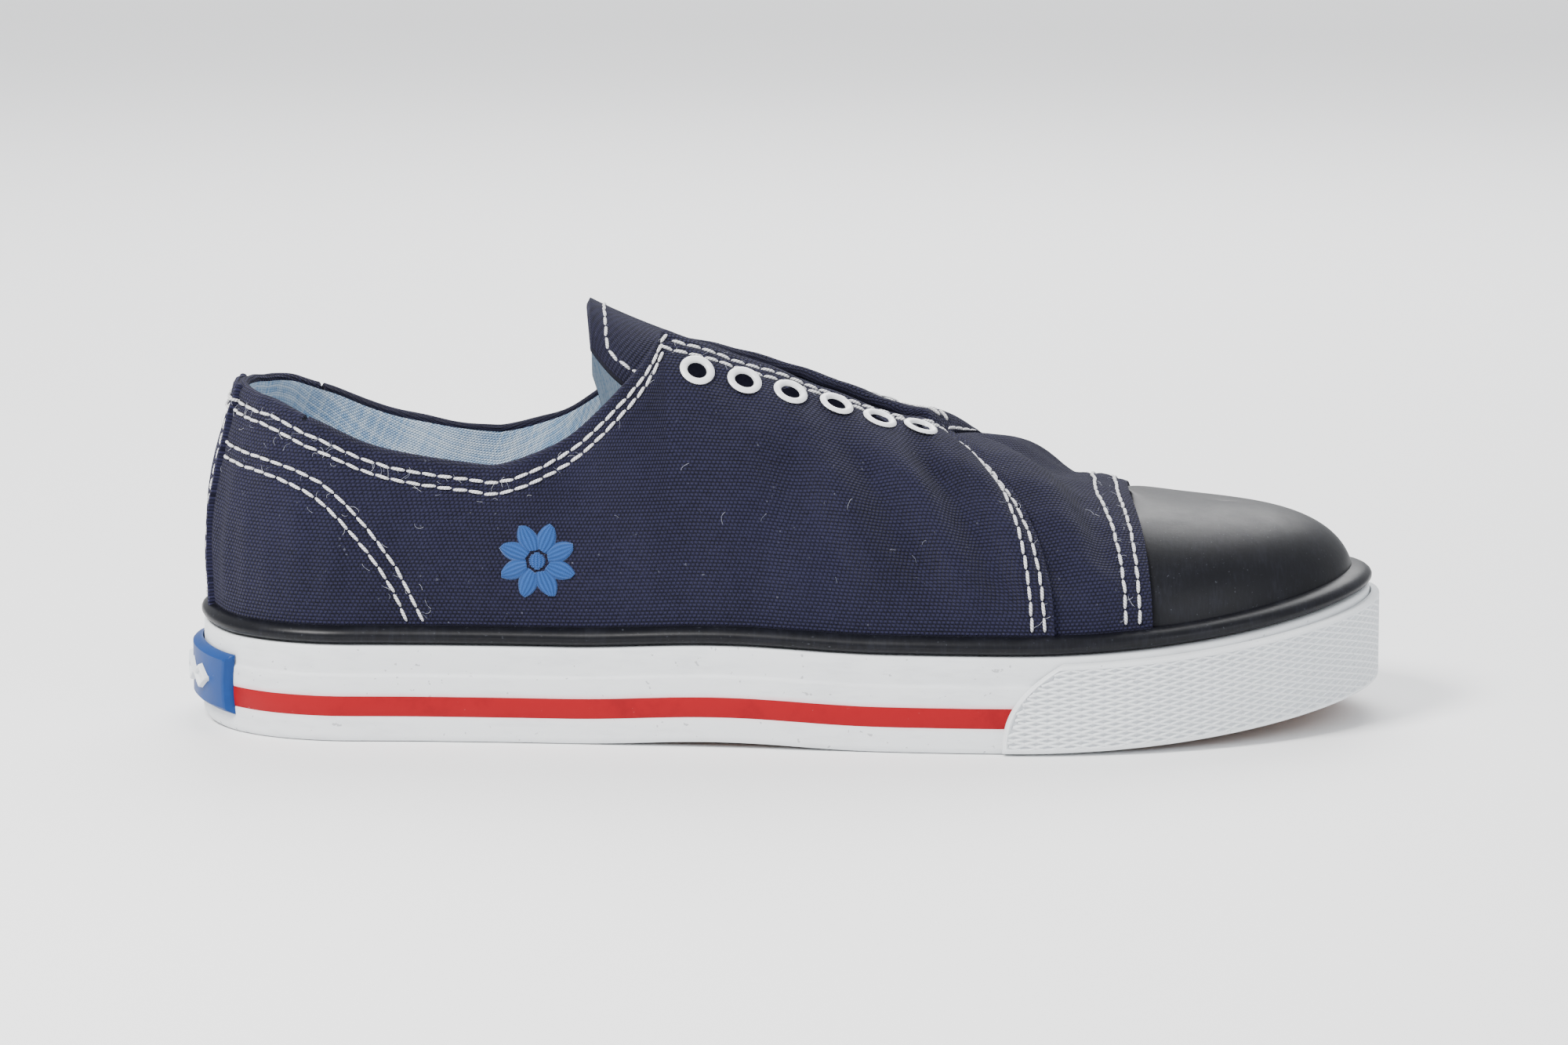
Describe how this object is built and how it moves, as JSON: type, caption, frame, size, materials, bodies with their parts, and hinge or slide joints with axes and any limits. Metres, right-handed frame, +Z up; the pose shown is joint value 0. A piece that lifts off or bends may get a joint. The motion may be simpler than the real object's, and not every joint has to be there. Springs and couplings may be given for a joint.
{
  "type": "canvas sneaker",
  "caption": "Low right-foot canvas sneaker: hollow navy upper, open throat and tongue, dark toe cap, white side band with red stripe, toe bumper and brown treaded outsole.",
  "frame": {"origin": "middle of the bottom of the shoe's box, on the floor that the sole stands on", "axes": "+X towards the toe, +Y towards the inner side of the foot, +Z up"},
  "size_m": [0.2858, 0.1062, 0.0997],
  "materials": {
    "canvas": "coarse plain weave",
    "lining": "light plain weave",
    "dark_rubber": "satin",
    "white_rubber": "satin",
    "red_rubber": "satin",
    "blue_rubber": "satin",
    "gum_rubber": "satin",
    "eyelet_metal": "enamel"
  },
  "bodies": {
    "root": {"upper": "canvas", "toe_cap": "dark_rubber", "heel_strip": "canvas", "tongue": "canvas", "insole": "lining", "outsole": "gum_rubber", "side_band": "white_rubber", "side_stripe": "red_rubber", "top_bead": "dark_rubber", "toe_bumper": "white_rubber", "heel_badge": "blue_rubber", "badge_chain": "white_rubber", "eyelet_outer_1": "eyelet_metal", "eyelet_outer_2": "eyelet_metal", "eyelet_outer_3": "eyelet_metal", "eyelet_outer_4": "eyelet_metal", "eyelet_outer_5": "eyelet_metal", "eyelet_outer_6": "eyelet_metal", "eyelet_inner_1": "eyelet_metal", "eyelet_inner_2": "eyelet_metal", "eyelet_inner_3": "eyelet_metal", "eyelet_inner_4": "eyelet_metal", "eyelet_inner_5": "eyelet_metal", "eyelet_inner_6": "eyelet_metal"}
  },
  "joints": []
}
